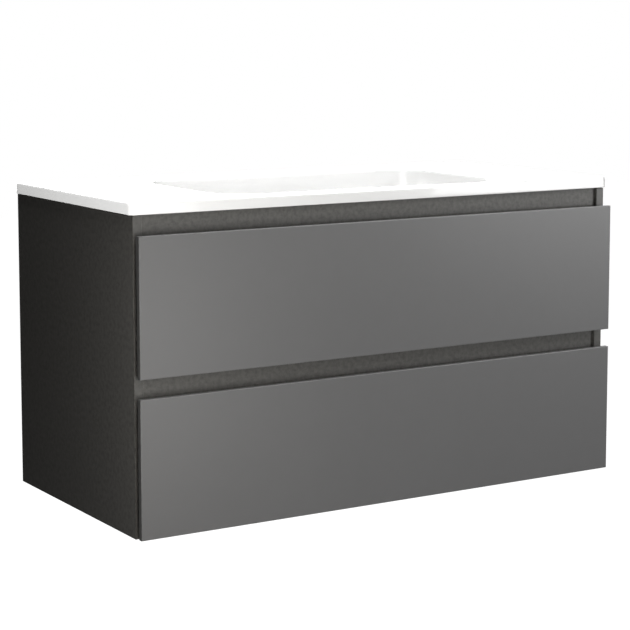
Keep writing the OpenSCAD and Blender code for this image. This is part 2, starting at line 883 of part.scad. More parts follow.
// The space of a drawer floor, grown by a clearance
module floor_space(d, clear) {
    half = box_w / 2 - box_t + floor_groove + clear;
    block([-half, box_y + box_t - floor_groove - clear, floor_z[d] - clear],
          [half, box_end - box_t + floor_groove + clear, floor_z[d] + floor_t + clear]);
}

// The cut-out around the siphon, open at the back, with walls grown by a clearance
module siphon_outline(grow) {
    w = siphon_w + 2 * grow;
    r = surround_r + grow;
    top = box_end + cut;
    translate([-w / 2, siphon_y - grow + r]) square([w, top - siphon_y + grow - r]);
    translate([-w / 2 + r, siphon_y - grow]) square([w - 2 * r, 2 * r]);
    for (sx = [-1, 1]) translate([sx * (w / 2 - r), siphon_y - grow + r]) circle(r);
}

module box_front(d) {
    half = box_w / 2 - box_t;
    color(box_grey) difference() {
        block([-half, box_y, box_z[d]], [half, box_y + box_t, box_top[d]]);
        floor_space(d, groove_clear);
        front_screw_places(d) {
            translate([0, 0, -cut]) cylinder(r = screw_r + hole_clear, h = box_t + 2 * cut);
            translate([0, 0, -cut]) cylinder(r = screw_head_r + hole_clear, h = screw_head_t + cut);
        }
    }
}

module box_side(side, d) {
    color(box_grey) on_side(side) difference() {
        block([box_w / 2 - box_t, box_y, box_z[d]], [box_w / 2, box_end, box_top[d]]);
        floor_space(d, groove_clear);
        drawer_screw_places(d) cylinder(r = screw_r + hole_clear, h = box_t);
    }
}

module box_back(d) {
    half = box_w / 2 - box_t;
    color(box_grey) difference() {
        block([-half, box_end - box_t, box_z[d]], [half, box_end, back_top[d]]);
        floor_space(d, groove_clear);
        if (d == upper) translate([0, 0, box_z[d] - cut])
            linear_extrude(back_top[d] - box_z[d] + 2 * cut) siphon_outline(surround_t);
    }
}

module box_floor(d) {
    color(box_grey) difference() {
        floor_space(d, 0);
        if (d == upper) translate([0, 0, floor_z[d] - cut])
            linear_extrude(floor_t + 2 * cut) siphon_outline(surround_t);
    }
}

module siphon_surround() {
    front = siphon_y - 2 * surround_t;
    color("dimgray") translate([0, 0, floor_z[upper]])
        linear_extrude(back_top[upper] - floor_z[upper]) intersection() {
            difference() {
                siphon_outline(surround_t);
                siphon_outline(0);
            }
            translate([-siphon_w, front]) square([2 * siphon_w, box_end - front]);
        }
}

module upper_drawer_front() drawer_front(upper);
module upper_box_front() box_front(upper);
module upper_box_left_side() box_side(left, upper);
module upper_box_right_side() box_side(right, upper);
module upper_box_back() box_back(upper);
module upper_box_floor() box_floor(upper);
module upper_front_screws() front_screws(upper);
module upper_front_bumpers() front_bumpers(upper);
module lower_drawer_front() drawer_front(lower);
module lower_box_front() box_front(lower);
module lower_box_left_side() box_side(left, lower);
module lower_box_right_side() box_side(right, lower);
module lower_box_back() box_back(lower);
module lower_box_floor() box_floor(lower);
module lower_front_screws() front_screws(lower);
module lower_front_bumpers() front_bumpers(lower);

// ---- Assembly ----
left_side_panel();
right_side_panel();
bottom_panel();
carcass_edge_bands();
upper_grip_rail();
middle_grip_rail();
hanging_rail();
lower_rear_rail();
cam_locks();
cam_bolts();
carcass_dowels();
left_wall_hanger();
right_wall_hanger();
left_wall_plate();
right_wall_plate();
hanger_screws();
hanger_covers();
washbasin_top();
sealant_bead();
waste_body();
waste_seal();
waste_backnut();
waste_plug();
upper_left_cabinet_runner();
upper_right_cabinet_runner();
lower_left_cabinet_runner();
lower_right_cabinet_runner();
cabinet_runner_screws();
upper_left_middle_runner();
upper_right_middle_runner();
lower_left_middle_runner();
lower_right_middle_runner();
upper_outer_ball_cages();
upper_inner_ball_cages();
lower_outer_ball_cages();
lower_inner_ball_cages();
upper_drawer_front();
upper_box_front();
upper_box_left_side();
upper_box_right_side();
upper_box_back();
upper_box_floor();
siphon_surround();
upper_left_drawer_runner();
upper_right_drawer_runner();
upper_runner_screws();
upper_front_screws();
upper_front_bumpers();
lower_drawer_front();
lower_box_front();
lower_box_left_side();
lower_box_right_side();
lower_box_back();
lower_box_floor();
lower_left_drawer_runner();
lower_right_drawer_runner();
lower_runner_screws();
lower_front_screws();
lower_front_bumpers();
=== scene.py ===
"""Looks for the wall-hung washbasin cabinet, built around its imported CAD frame.

Metres. X runs along the drawer fronts, +Y points to the wall, Z is up.
"""

import json
import math

import bmesh
import bpy
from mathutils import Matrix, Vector


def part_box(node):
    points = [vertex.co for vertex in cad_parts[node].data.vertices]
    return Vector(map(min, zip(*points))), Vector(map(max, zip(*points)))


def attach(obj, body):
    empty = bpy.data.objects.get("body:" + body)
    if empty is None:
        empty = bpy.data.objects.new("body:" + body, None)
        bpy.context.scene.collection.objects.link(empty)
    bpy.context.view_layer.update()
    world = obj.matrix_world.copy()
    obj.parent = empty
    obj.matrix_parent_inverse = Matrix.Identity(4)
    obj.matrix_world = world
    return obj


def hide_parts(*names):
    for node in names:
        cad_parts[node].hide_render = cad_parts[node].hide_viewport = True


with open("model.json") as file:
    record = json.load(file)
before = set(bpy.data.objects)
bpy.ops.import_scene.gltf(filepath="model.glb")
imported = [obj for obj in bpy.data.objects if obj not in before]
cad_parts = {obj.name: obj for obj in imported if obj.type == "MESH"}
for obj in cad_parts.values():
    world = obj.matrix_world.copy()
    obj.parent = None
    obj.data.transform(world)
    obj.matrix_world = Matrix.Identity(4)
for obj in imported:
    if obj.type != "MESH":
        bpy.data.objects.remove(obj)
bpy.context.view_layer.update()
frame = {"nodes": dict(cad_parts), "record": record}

MM = 0.001
TINY = 0.02 * MM
FACING = 0.99  # how nearly a face's normal must follow an axis to count as looking along it
SMOOTH_ANGLE = math.radians(40)
ROUND_SEGMENTS = 64

# Washbasin: the slab and the bowl moulded in one with it
SLAB_T = 18 * MM
SLAB_CORNER_R = 10 * MM
SLAB_EDGE_R = 3 * MM
SLAB_UNDER_R = 1 * MM
CORNER_STEPS = 16
LOOP_POINTS = 4 * (CORNER_STEPS + 1)
LOOP_LIFT = 0.5 * MM
BASIN_W = 540 * MM
BASIN_BACK_LEDGE = 80 * MM
BASIN_FRONT_LEDGE = 40 * MM
BASIN_CORNER_R = 70 * MM
BOWL_DEPTH = 105 * MM
BOWL_WALL = 9 * MM
BOWL_LEAN = math.radians(10.65)
BOWL_LIP_R = 5 * MM
BOWL_LIP_OUT = 4 * MM
BOWL_FILLET_R = 28 * MM
LIP_STEPS = 6
FILLET_STEPS = 10
DRAIN_RECESS_R = 33 * MM
DRAIN_RECESS_D = 3 * MM
DRAIN_HOLE_R = 22.4 * MM

# Drawer fronts
FRONT_EDGE_T = 9 * MM
FRONT_BEVEL = 9 * MM
GRIP_BEVEL_H = 22 * MM
FRONT_EDGE_R = 1 * MM
BROAD_FACE = 0.01  # square metres
SUPPORT = 2 * MM

# Waste: flange, threaded pipe, and the plug on its guide
FLANGE_T = 3 * MM
FLANGE_DIP = 0.2 * MM
FLANGE_EDGE = ((1.6 * MM, 0.1 * MM), (0.5 * MM, 0.5 * MM), (0.1 * MM, 1.2 * MM))  # in, down
FLANGE_INSET = 0.1 * MM
SHANK_R = 21.8 * MM
SHANK_THREAD_TOP = 380 * MM  # above the cabinet's underside, as the next
SHANK_END = 375 * MM
SHANK_THREAD_D = 0.5 * MM
SHANK_PITCH = 1.6 * MM
TAIL_R = 20.9 * MM
TAIL_THREAD_D = 1.1 * MM
TAIL_PITCH = 2.3 * MM
TAIL_THREAD_INSET = 2 * MM
TAIL_TIP_H = 0.6 * MM
TAIL_TIP_IN = 0.4 * MM
THREAD_CREST, THREAD_FLANK, THREAD_ROOT = 0.15, 0.5, 0.65  # each one's end, in pitches
BORE_R = 18.2 * MM
BORE_END_W = 0.3 * MM
BORE_END_H = 0.4 * MM
FUNNEL_W = 7.9 * MM
FUNNEL_D = 1.5 * MM
SPIDER_DROP = 22 * MM
SPIDER_T = 4 * MM
SPIDER_ARM_W = 3 * MM
SPIDER_TURNS = (30, 150, 270)
STEM_R = 4 * MM
STEM_POLE_R = 2 * MM
STEM_TIP_IN = 0.4 * MM
STEM_TIP_H = 0.6 * MM
STEM_GUIDE_R = 4.4 * MM
SEAL_BORE_R = 22.4 * MM
SEAL_EDGE_R = 0.8 * MM
SEAL_EDGE_IN = 0.2 * MM
SEAL_EDGE_DOWN = 0.3 * MM
NUT_EDGE_R = 1.2 * MM
NUT_CORNER_R = 0.6 * MM
PLUG_CAP_H = 6 * MM
PLUG_DOME = 3 * MM
PLUG_EDGE_R = 0.6 * MM
PLUG_RIM_DROP = 0.5 * MM
PLUG_SHOULDER = (0.15 * MM, 0.1 * MM)  # in, down
DOME_SHARES = (0.97, 0.92, 0.85, 0.75, 0.62, 0.48, 0.33, 0.18, 0.06)

# Boards of the cabinet body
BOARD_EDGE_R = 0.4 * MM
BAND_EDGE_R = 0.7 * MM

# Studio: metres, watts and linear colours
FLOOR_SIZE = 16
FLOOR_Z = -0.42
BACKDROP_WAY = (0.53, 0.85, 0.0)
BACKDROP_FADE = (0.78, 0.92)  # cosines of the angle off that way
MIDDLE = (0, 0, 0.25)
RIGHT_HALF = (0.2, 0, 0.25)
WHITE = (1, 1, 1)
WARM = (1, 0.97, 0.92)
# name, place, aim, width, height, power, colour
SOFTBOXES = (
    ("top_softbox", (0, 0, 1.75), MIDDLE, 1.7, 1.2, 26, WHITE),
    ("high_right_softbox", (1.9, -1.8, 1.9), RIGHT_HALF, 1.6, 1.2, 42, WHITE),
    ("right_softbox", (2.3, -2.3, 0.45), RIGHT_HALF, 1.2, 0.6, 16.5, WHITE),
    ("low_left_softbox", (-0.7, -1.8, -0.1), (-0.45, 0, 0.2), 0.5, 0.4, 2.8, WARM),
    ("left_strip_softbox", (-0.64, -0.78, 0.28), (-0.4, 0, 0.22), 0.2, 0.6, 2.0, WARM),
    ("low_front_softbox", (0.1, -1.7, 0.1), (-0.05, 0, 0.22), 0.7, 0.7, 3.4, WHITE),
    ("back_softbox", (0.7, 2.6, 1.0), MIDDLE, 2.4, 1.6, 45, WHITE),
    ("slab_side_softbox", (-2.2, -0.9, 0.75), (-0.4, 0, 0.5), 1.2, 0.9, 42, WHITE),
    ("left_side_softbox", (-0.58, -0.64, 0.3), (-0.45, 0, 0.25), 0.1, 0.7, 3.2, WHITE),
)
CAMERA_PLACE = (-1.682, -2.709, 0.776)
CAMERA_TILT = math.radians(83.53)
CAMERA_TURN = math.radians(-31.73)
CAMERA_LENS = 108.3
CAMERA_SENSOR = 36
CAMERA_RISE = -0.127


# ---------------------------------------------------------------- modelling


def clear_selection():
    if bpy.context.mode != "OBJECT":
        bpy.ops.object.mode_set(mode="OBJECT")
    bpy.ops.object.select_all(action="DESELECT")


def edit_new(name):
    """Names the primitive just added, applies its place and opens it in edit mode."""
    piece = bpy.context.object
    piece.name = piece.data.name = name
    bpy.ops.object.transform_apply(location=True, rotation=True, scale=True)
    bpy.ops.object.mode_set(mode="EDIT")
    return piece


def start_block(name, low, high):
    clear_selection()
    low, high = Vector(low), Vector(high)
    bpy.ops.mesh.primitive_cube_add(size=1, location=(low + high) / 2, scale=high - low)
    return edit_new(name)


def pick(kind, wanted):
    """Selects the vertices, edges or faces that pass the test, and nothing else."""
    bpy.ops.mesh.select_mode(type=kind)
    bpy.ops.mesh.select_all(action="DESELECT")
    data = bpy.context.edit_object.data
    mesh = bmesh.from_edit_mesh(data)
    mesh.normal_update()
    for part in {"VERT": mesh.verts, "EDGE": mesh.edges, "FACE": mesh.faces}[kind]:
        if wanted(part):
            part.select_set(True)
    bmesh.update_edit_mesh(data)


def level(z):
    """A test for edges or faces that lie at height z."""
    return lambda part: all(abs(v.co.z - z) < TINY for v in part.verts)


def level_y(y):
    """A test for edges or faces that lie at distance y."""
    return lambda part: all(abs(v.co.y - y) < TINY for v in part.verts)


def upright(edge):
    a, b = (v.co for v in edge.verts)
    return math.hypot(a.x - b.x, a.y - b.y) < TINY


def faces_along(axis, sign):
    """A test for faces that look along +axis or -axis."""
    return lambda face: face.normal[axis] * sign > FACING


def bevel_edges(wanted, width, segments):
    pick("EDGE", wanted)
    bpy.ops.mesh.bevel(offset=width, segments=segments, affect="EDGES")


def extrude(offset):
    bpy.ops.mesh.extrude_region_move(TRANSFORM_OT_translate={"value": offset})


def support_faces(wanted, width):
    """Holds flat faces flat with a narrow strip inside their edges."""
    pick("FACE", wanted)
    bpy.ops.mesh.inset(thickness=width, use_individual=True)


def apply_modifier(piece, kind, **settings):
    modifier = piece.modifiers.new(kind.lower(), kind)
    for key, value in settings.items():
        setattr(modifier, key, value)
    bpy.context.view_layer.objects.active = piece
    bpy.ops.object.modifier_apply(modifier=modifier.name)


def close(piece, body, slot, replaced):
    """Merges and turns the faces, leaves edit mode, and gives the piece its finish and body."""
    bpy.ops.mesh.select_all(action="SELECT")
    bpy.ops.mesh.remove_doubles(threshold=TINY / 2)
    bpy.ops.mesh.normals_make_consistent(inside=False)
    bpy.ops.object.mode_set(mode="OBJECT")
    bpy.ops.object.shade_smooth_by_angle(angle=SMOOTH_ANGLE)
    apply_modifier(piece, "WEIGHTED_NORMAL", keep_sharp=True)
    piece.data.materials.clear()
    piece.data.materials.append(finishes[slot])
    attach(piece, body)
    for node in replaced:
        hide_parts(node)
    return piece


# ------------------------------------------------------------ node helpers


def set_inputs(tree, node, inputs):
    """Sets each input to its value, or links it where a socket is given."""
    for key, value in inputs.items():
        if isinstance(value, bpy.types.NodeSocket):
            tree.links.new(value, node.inputs[key])
        else:
            node.inputs[key].default_value = value


def add_node(tree, kind, inputs=None, **settings):
    """Adds a node, sets its properties, then its inputs."""
    made = tree.nodes.new(kind)
    for key, value in settings.items():
        setattr(made, key, value)
    set_inputs(tree, made, inputs or {})
    return made


def maths(tree, operation, a, b=0.0):
    return add_node(tree, "ShaderNodeMath", {0: a, 1: b}, operation=operation).outputs[0]


def stretched(tree, vector, factors):
    inputs = {0: vector, 1: factors}
    return add_node(tree, "ShaderNodeVectorMath", inputs, operation="MULTIPLY").outputs[0]


def dimmed(tree, color, factor):
    inputs = {0: color, "Scale": factor}
    return add_node(tree, "ShaderNodeVectorMath", inputs, operation="SCALE").outputs[0]


def noise(tree, vector, scale, detail=2.0, rough=0.5):
    inputs = {"Vector": vector, "Scale": scale, "Detail": detail, "Roughness": rough}
    return add_node(tree, "ShaderNodeTexNoise", inputs).outputs["Fac"]


def span(tree, value, low, high, to_low=0.0, to_high=1.0):
    """Stretches the range low to high over the range to_low to to_high, cut off at its ends."""
    inputs = {"Value": value, 1: low, 2: high, 3: to_low, 4: to_high}
    return add_node(tree, "ShaderNodeMapRange", inputs).outputs[0]


def mixed(tree, factor, a, b):
    """Mixes two colours. On a Mix node of colours they are inputs 6 and 7, and output 2."""
    inputs = {0: factor, 6: a, 7: b}
    return add_node(tree, "ShaderNodeMix", inputs, data_type="RGBA").outputs[2]


def new_group(name, inputs, outputs):
    """An empty shader group with its sockets, and its two ends."""
    tree = bpy.data.node_groups.new(name, "ShaderNodeTree")
    for label, kind, default in inputs:
        socket = tree.interface.new_socket(label, in_out="INPUT", socket_type=kind)
        if default is not None:
            socket.default_value = default
    for label, kind in outputs:
        tree.interface.new_socket(label, in_out="OUTPUT", socket_type=kind)
    ends = tree.nodes.new("NodeGroupInput"), tree.nodes.new("NodeGroupOutput")
    return tree, ends[0].outputs, ends[1].inputs


VECTOR, FLOAT, COLOR = "NodeSocketVector", "NodeSocketFloat", "NodeSocketColor"
MOTTLE_SCALE = 23.0
BROAD_SHARE, FINE_SHARE = 0.7, 0.3
THREAD_WANDER = 4 * MM
FLAT_POINTINESS = 0.5
EDGE_START = 0.505


def make_tone_drift():
    """Soft drift of colour and gloss over a surface, with a finer mottle in it."""
    tree, given, out = new_group(
        "tone_drift",
        [("Position", VECTOR, None), ("Color", COLOR, (1, 1, 1, 1)), ("Scale", FLOAT, 4.0),
         ("Amount", FLOAT, 0.05), ("Roughness", FLOAT, 0.4), ("Gloss Drift", FLOAT, 0.05)],
        [("Color", COLOR), ("Roughness", FLOAT)],
    )
    broad = noise(tree, given["Position"], given["Scale"], detail=3.0)
    fine_scale = maths(tree, "MULTIPLY", given["Scale"], MOTTLE_SCALE)
    fine = noise(tree, given["Position"], fine_scale)
    broad_part = maths(tree, "MULTIPLY", broad, BROAD_SHARE)
    fine_part = maths(tree, "MULTIPLY", fine, FINE_SHARE)
    both = maths(tree, "ADD", broad_part, fine_part)
    swing = span(tree, both, 0.3, 0.7, to_low=-1.0)
    factor = maths(tree, "ADD", maths(tree, "MULTIPLY", swing, given["Amount"]), 1.0)
    tree.links.new(dimmed(tree, given["Color"], factor), out["Color"])
    gloss = maths(tree, "MULTIPLY", swing, given["Gloss Drift"])
    tree.links.new(maths(tree, "ADD", gloss, given["Roughness"]), out["Roughness"])
    return tree


def make_fine_pores():
    """Short pores drawn out along one direction, as in a grained foil or a brushed sheet."""
    tree, given, out = new_group(
        "fine_pores",
        [("Position", VECTOR, None), ("Stretch", VECTOR, (900, 900, 25)), ("Depth", FLOAT, 1.0)],
        [("Mask", FLOAT), ("Height", FLOAT)],
    )
    place = stretched(tree, given["Position"], given["Stretch"])
    streaks = noise(tree, place, 1.0, detail=3.0, rough=0.6)
    mask = span(tree, streaks, 0.35, 0.65)
    tree.links.new(mask, out["Mask"])
    tree.links.new(maths(tree, "MULTIPLY", mask, given["Depth"]), out["Height"])
    return tree


def make_spray_skin():
    """The very fine, rounded skin of a sprayed or moulded surface."""
    tree, given, out = new_group(
        "spray_skin",
        [("Position", VECTOR, None), ("Scale", FLOAT, 900.0), ("Depth", FLOAT, 1.0)],
        [("Height", FLOAT)],
    )
    inputs = {"Vector": given["Position"], "Scale": given["Scale"]}
    voronoi = add_node(tree, "ShaderNodeTexVoronoi", inputs, feature="SMOOTH_F1")
    cells = voronoi.outputs["Distance"]
    ripple = noise(tree, given["Position"], maths(tree, "MULTIPLY", given["Scale"], 0.4))
    both = maths(tree, "ADD", maths(tree, "MULTIPLY", cells, 0.5), ripple)
    tree.links.new(maths(tree, "MULTIPLY", both, given["Depth"]), out["Height"])
    return tree


def make_linen():
    """The woven look pressed into the foil of the drawer boxes."""
    tree, given, out = new_group(
        "linen_weave",
        [("Position", VECTOR, None), ("Threads", FLOAT, 900.0)],
        [("Mask", FLOAT), ("Height", FLOAT)],
    )
    wander = maths(tree, "MULTIPLY", noise(tree, given["Position"], 60.0), THREAD_WANDER)
    turns = maths(tree, "MULTIPLY", given["Threads"], 2 * math.pi)
    split = add_node(tree, "ShaderNodeSeparateXYZ", {0: given["Position"]}).outputs
    waves = []
    for axis in ("X", "Z"):
        along = maths(tree, "ADD", split[axis], split["Y"])
        bent = maths(tree, "ADD", along, wander)
        waves.append(maths(tree, "SINE", maths(tree, "MULTIPLY", bent, turns)))
    patches = noise(tree, given["Position"], 220.0, detail=3.0)
    uneven = span(tree, patches, 0.3, 0.7, to_low=0.4)
    weave = maths(tree, "MULTIPLY", maths(tree, "MULTIPLY", waves[0], waves[1]), uneven)
    mask = span(tree, weave, -1.0, 1.0)
    tree.links.new(mask, out["Mask"])
    tree.links.new(mask, out["Height"])
    return tree


def make_edge_rub_and_highlight():
    """Where edges stand proud, as a mask broken up as by handling: partly rubbed wear, partly a
    painted highlight along the edges.
    """
    tree, given, out = new_group(
        "edge_rub_and_highlight",
        [("Position", VECTOR, None), ("Reach", FLOAT, 0.08)],
        [("Mask", FLOAT)],
    )
    edge = add_node(tree, "ShaderNodeNewGeometry").outputs["Pointiness"]
    high = maths(tree, "ADD", FLAT_POINTINESS, given["Reach"])
    lifted = span(tree, edge, EDGE_START, high)
    patches = noise(tree, given["Position"], 140.0, detail=4.0, rough=0.6)
    broken = span(tree, patches, 0.35, 0.6, to_low=0.25)
    tree.links.new(maths(tree, "MULTIPLY", lifted, broken), out["Mask"])
    return tree


def make_smudges():
    """Faint wiped marks, as changes about a level of roughness or of coat."""
    tree, given, out = new_group(
        "wiped_smudges",
        [("Position", VECTOR, None), ("Level", FLOAT, 0.1), ("Amount", FLOAT, 0.05)],
        [("Level", FLOAT)],
    )
    place = stretched(tree, given["Position"], (14.0, 5.0, 9.0))
    marks = span(tree, noise(tree, place, 1.0, detail=5.0, rough=0.6), 0.45, 0.7)
    fine = span(tree, noise(tree, given["Position"], 260.0), 0.4, 0.7, to_high=0.4)
    both = maths(tree, "ADD", marks, fine)
    change = maths(tree, "MULTIPLY", both, given["Amount"])
    tree.links.new(maths(tree, "ADD", change, given["Level"]), out["Level"])
    return tree


# --------------------------------------------------------------- finishes


def start_finish(name, **shader_values):
    """A material with a Principled shader, its constants and the object's coordinates."""
    material = bpy.data.materials.new(name)
    material.use_nodes = True
    tree = material.node_tree
    tree.nodes.clear()
    shader = add_node(tree, "ShaderNodeBsdfPrincipled")
    output = add_node(tree, "ShaderNodeOutputMaterial")
    tree.links.new(shader.outputs[0], output.inputs["Surface"])
    for label, value in shader_values.items():
        shader.inputs[label.replace("_", " ")].default_value = value
    position = add_node(tree, "ShaderNodeTexCoord").outputs["Object"]
    return material, tree, shader.inputs, position


def use_group(tree, group, inputs):
    made = tree.nodes.new("ShaderNodeGroup")
    made.node_tree = group
    set_inputs(tree, made, inputs)
    return made.outputs


def add_bump(tree, sockets, height, strength, distance):
    inputs = {"Height": height, "Strength": strength, "Distance": distance}
    bump = add_node(tree, "ShaderNodeBump", inputs)
    tree.links.new(bump.outputs[0], sockets["Normal"])


def rgb(r, g, b):
    return (r, g, b, 1.0)


def board_finish(name, color, rub_and_highlight_color, roughness, stretch, pore_tone, depth):
    """A foil- or melamine-faced board: drifted tone, drawn-out pores, edges lightened as rubbed
    wear and as a painted highlight.
    """
    material, tree, sockets, position = start_finish(name, Specular_IOR_Level=0.45)
    drift = use_group(tree, groups["tone_drift"], {
        "Position": position, "Color": color, "Scale": 3.0, "Amount": 0.035,
        "Roughness": roughness, "Gloss Drift": 0.025,
    })
    pores = use_group(tree, groups["fine_pores"], {"Position": position, "Stretch": stretch})
    darker = dimmed(tree, drift["Color"], pore_tone)
    toned = mixed(tree, pores["Mask"], darker, drift["Color"])
    # paler edges: rubbed wear and a painted highlight
    rub_and_highlight = use_group(tree, groups["edge_rub_and_highlight"], {"Position": position})
    tree.links.new(mixed(tree, rub_and_highlight["Mask"], toned, rub_and_highlight_color), sockets["Base Color"])
    tree.links.new(drift["Roughness"], sockets["Roughness"])
    add_bump(tree, sockets, pores["Height"], strength=0.25, distance=depth)
    return material


def carcass_finish(name, grain):
    """Matt melamine with its grain drawn out along one direction."""
    return board_finish(
        # second colour: the paler edge, rubbed wear and painted highlight
        name, rgb(0.066, 0.064, 0.0595), rgb(0.11, 0.107, 0.1),
        roughness=0.42, stretch=grain, pore_tone=0.94, depth=0.012 * MM,
    )


def edge_band_finish():
    return board_finish(
        # second colour: the paler edge, rubbed wear and painted highlight
        "edge_band_plastic", rgb(0.08, 0.0775, 0.072), rgb(0.13, 0.127, 0.12),
        roughness=0.36, stretch=(700, 700, 30), pore_tone=0.92, depth=0.02 * MM,
    )


def front_finish():
    """Satin lacquer sprayed on fibreboard."""
    material, tree, sockets, position = start_finish(
        "front_lacquer", Specular_IOR_Level=0.5, Coat_Roughness=0.3, Coat_IOR=1.45
    )
    drift = use_group(tree, groups["tone_drift"], {
        "Position": position, "Color": rgb(0.147, 0.147, 0.148), "Scale": 2.2, "Amount": 0.025,
        "Roughness": 0.34, "Gloss Drift": 0.03,
    })
    # paler edges: a painted highlight along the lacquer's edges, with some rubbed wear
    rub_and_highlight = use_group(tree, groups["edge_rub_and_highlight"], {"Position": position})
    toned = mixed(tree, rub_and_highlight["Mask"], drift["Color"], rgb(0.21, 0.21, 0.213))
    tree.links.new(toned, sockets["Base Color"])
    tree.links.new(drift["Roughness"], sockets["Roughness"])
    coat = use_group(tree, groups["wiped_smudges"], {
        "Position": position, "Level": 0.1, "Amount": -0.05,
    })
    tree.links.new(coat["Level"], sockets["Coat Weight"])
    skin = use_group(tree, groups["spray_skin"], {"Position": position, "Scale": 1100.0})
    add_bump(tree, sockets, skin["Height"], strength=0.1, distance=0.05 * MM)
    return material


def box_board_finish():
    """Foil-wrapped drawer boards with a pressed linen weave."""
    material, tree, sockets, position = start_finish("box_linen_foil", Specular_IOR_Level=0.4)
    drift = use_group(tree, groups["tone_drift"], {
        "Position": position, "Color": rgb(0.2, 0.2, 0.195), "Scale": 5.0, "Amount": 0.06,
        "Roughness": 0.55, "Gloss Drift": 0.05,
    })
    weave = use_group(tree, groups["linen_weave"], {"Position": position, "Threads": 520.0})
    sunk = dimmed(tree, drift["Color"], 0.72)
    tree.links.new(mixed(tree, weave["Mask"], sunk, drift["Color"]), sockets["Base Color"])
    tree.links.new(drift["Roughness"], sockets["Roughness"])
    add_bump(tree, sockets, weave["Height"], strength=0.35, distance=0.08 * MM)
    return material


def glaze_finish():
    """White glaze: slight waviness, faint drift in tone, wiped marks in the gloss."""
    material, tree, sockets, position = start_finish(
        "white_glaze", Specular_IOR_Level=0.5, Coat_Roughness=0.03, Coat_IOR=1.5
    )
    drift = use_group(tree, groups["tone_drift"], {
        "Position": position, "Color": rgb(0.77, 0.77, 0.764), "Scale": 6.0, "Amount": 0.012,
        "Roughness": 0.16, "Gloss Drift": 0.04,
    })
    tree.links.new(drift["Color"], sockets["Base Color"])
    tree.links.new(drift["Roughness"], sockets["Roughness"])
    coat = use_group(tree, groups["wiped_smudges"], {
        "Position": position, "Level": 0.55, "Amount": -0.25,
    })
    tree.links.new(coat["Level"], sockets["Coat Weight"])
    skin = use_group(tree, groups["spray_skin"], {"Position": position, "Scale": 45.0})
    add_bump(tree, sockets, skin["Height"], strength=0.06, distance=0.3 * MM)
    return material


def metal_finish(name, color, roughness, stretch, depth):
    """A metal with drawn-out marks, drifted tone and wiped smudges."""
    material, tree, sockets, position = start_finish(name, Metallic=1.0)
    smudge = use_group(tree, groups["wiped_smudges"], {
        "Position": position, "Level": roughness, "Amount": roughness * 0.4,
    })
    drift = use_group(tree, groups["tone_drift"], {
        "Position": position, "Color": color, "Scale": 30.0, "Amount": 0.08,
        "Roughness": 0.3, "Gloss Drift": 0.0,
    })
    lines = use_group(tree, groups["fine_pores"], {"Position": position, "Stretch": stretch})
    scored = dimmed(tree, drift["Color"], 0.85)
    tree.links.new(mixed(tree, lines["Mask"], scored, drift["Color"]), sockets["Base Color"])
    tree.links.new(smudge["Level"], sockets["Roughness"])
    add_bump(tree, sockets, lines["Height"], strength=0.2, distance=depth)
    return material


def moulded_finish(name, color, roughness, skin_scale, strength, **shader_values):
    """A moulded plastic, rubber or silicone with a fine eroded skin."""
    material, tree, sockets, position = start_finish(name, **shader_values)
    drift = use_group(tree, groups["tone_drift"], {
        "Position": position, "Color": color, "Scale": 12.0, "Amount": 0.06,
        "Roughness": roughness, "Gloss Drift": 0.06,
    })
    # paler edges: rubbed wear and a painted highlight
    rub_and_highlight = use_group(tree, groups["edge_rub_and_highlight"], {"Position": position})
    pale = dimmed(tree, drift["Color"], 1.35)
    tree.links.new(mixed(tree, rub_and_highlight["Mask"], drift["Color"], pale), sockets["Base Color"])
    tree.links.new(drift["Roughness"], sockets["Roughness"])
    skin = use_group(tree, groups["spray_skin"], {"Position": position, "Scale": skin_scale})
    add_bump(tree, sockets, skin["Height"], strength, distance=0.1 * MM)
    return material


def beech_finish():
    """Raw turned beech with its short flecks."""
    return board_finish(
        # second colour: the paler edge, rubbed wear and painted highlight
        "raw_beech", rgb(0.6, 0.43, 0.27), rgb(0.68, 0.52, 0.35),
        roughness=0.62, stretch=(60, 900, 900), pore_tone=0.78, depth=0.1 * MM,
    )


groups = {
    "tone_drift": make_tone_drift(),
    "fine_pores": make_fine_pores(),
    "spray_skin": make_spray_skin(),
    "linen_weave": make_linen(),
    "edge_rub_and_highlight": make_edge_rub_and_highlight(),
    "wiped_smudges": make_smudges(),
}

